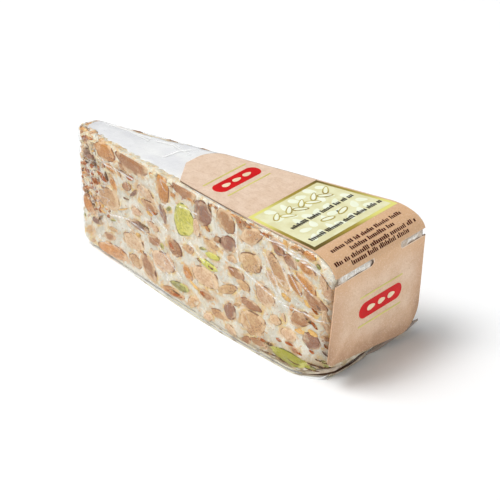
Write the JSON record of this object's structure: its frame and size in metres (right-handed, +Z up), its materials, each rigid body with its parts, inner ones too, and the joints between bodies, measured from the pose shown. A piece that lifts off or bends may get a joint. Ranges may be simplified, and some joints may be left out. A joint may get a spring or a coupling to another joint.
{
  "type": "nougat bar",
  "caption": "Wedge of soft nougat full of whole almonds and pistachios, in clear film, with a bent card label over its top and wide end.",
  "frame": {"origin": "centre of the bounding box in plan, at the height of the flat foot", "axes": "+X from the narrow tip to the wide rim, +Y from the shown cut side to the other, +Z up"},
  "size_m": [0.1588, 0.0598, 0.0558],
  "materials": {
    "wrapped_nougat": "soft nougat with nuts seen through clear glossy film",
    "label_card": "smooth printed card",
    "film": "clear glossy film"
  },
  "bodies": {
    "root": {"wrapped_nougat": "wrapped_nougat", "label_card": "label_card", "film_lip": "film", "film_flap": "film"}
  },
  "joints": []
}
